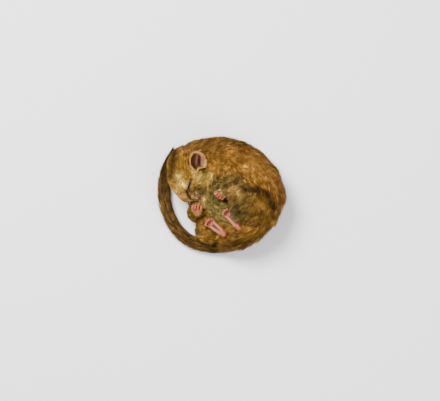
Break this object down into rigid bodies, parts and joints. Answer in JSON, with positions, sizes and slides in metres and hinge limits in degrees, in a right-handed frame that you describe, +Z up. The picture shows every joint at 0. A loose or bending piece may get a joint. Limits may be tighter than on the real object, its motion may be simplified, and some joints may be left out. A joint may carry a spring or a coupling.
{
  "type": "sleeping hazel dormouse model",
  "caption": "Life-size still model of a hazel dormouse asleep, curled on its side with the bushy tail laid round to its head.",
  "frame": {"origin": "bottom centre of the whole animal's bounding box, on the floor it lies on", "axes": "+Z up from the floor, towards its left side; +X towards the small of its back, away from the tail; +Y towards the nape, with the nose pointing to -Y"},
  "size_m": [0.0634, 0.0576, 0.033],
  "materials": {
    "coat_back": "short dense fur, golden brown",
    "coat_belly": "short soft fur, pale olive",
    "coat_tail": "bushy fur, darker brown",
    "skin_paw": "bare skin, matte",
    "skin_ear": "thin bare skin, matte",
    "lids": "bare lid skin, matte"
  },
  "bodies": {
    "root": {"head": "coat_back", "nose": "skin_paw", "ear_left": "skin_ear", "ear_right": "skin_ear", "eye_left": "lids", "eye_right": "lids", "neck": "coat_back", "chest": "coat_back", "loin": "coat_back", "rump": "coat_back", "belly": "coat_belly", "upper_arm_left": "coat_back", "forearm_left": "coat_back", "forepaw_left": "skin_paw", "upper_arm_right": "coat_back", "forearm_right": "coat_back", "forepaw_right": "skin_paw", "thigh_left": "coat_back", "shank_left": "coat_back", "hindfoot_left": "skin_paw", "thigh_right": "coat_back", "shank_right": "coat_back", "hindfoot_right": "skin_paw", "tail_root": "coat_tail", "tail_fore": "coat_tail", "tail_middle": "coat_tail", "tail_hind": "coat_tail", "tail_tip": "coat_tail"}
  },
  "joints": []
}
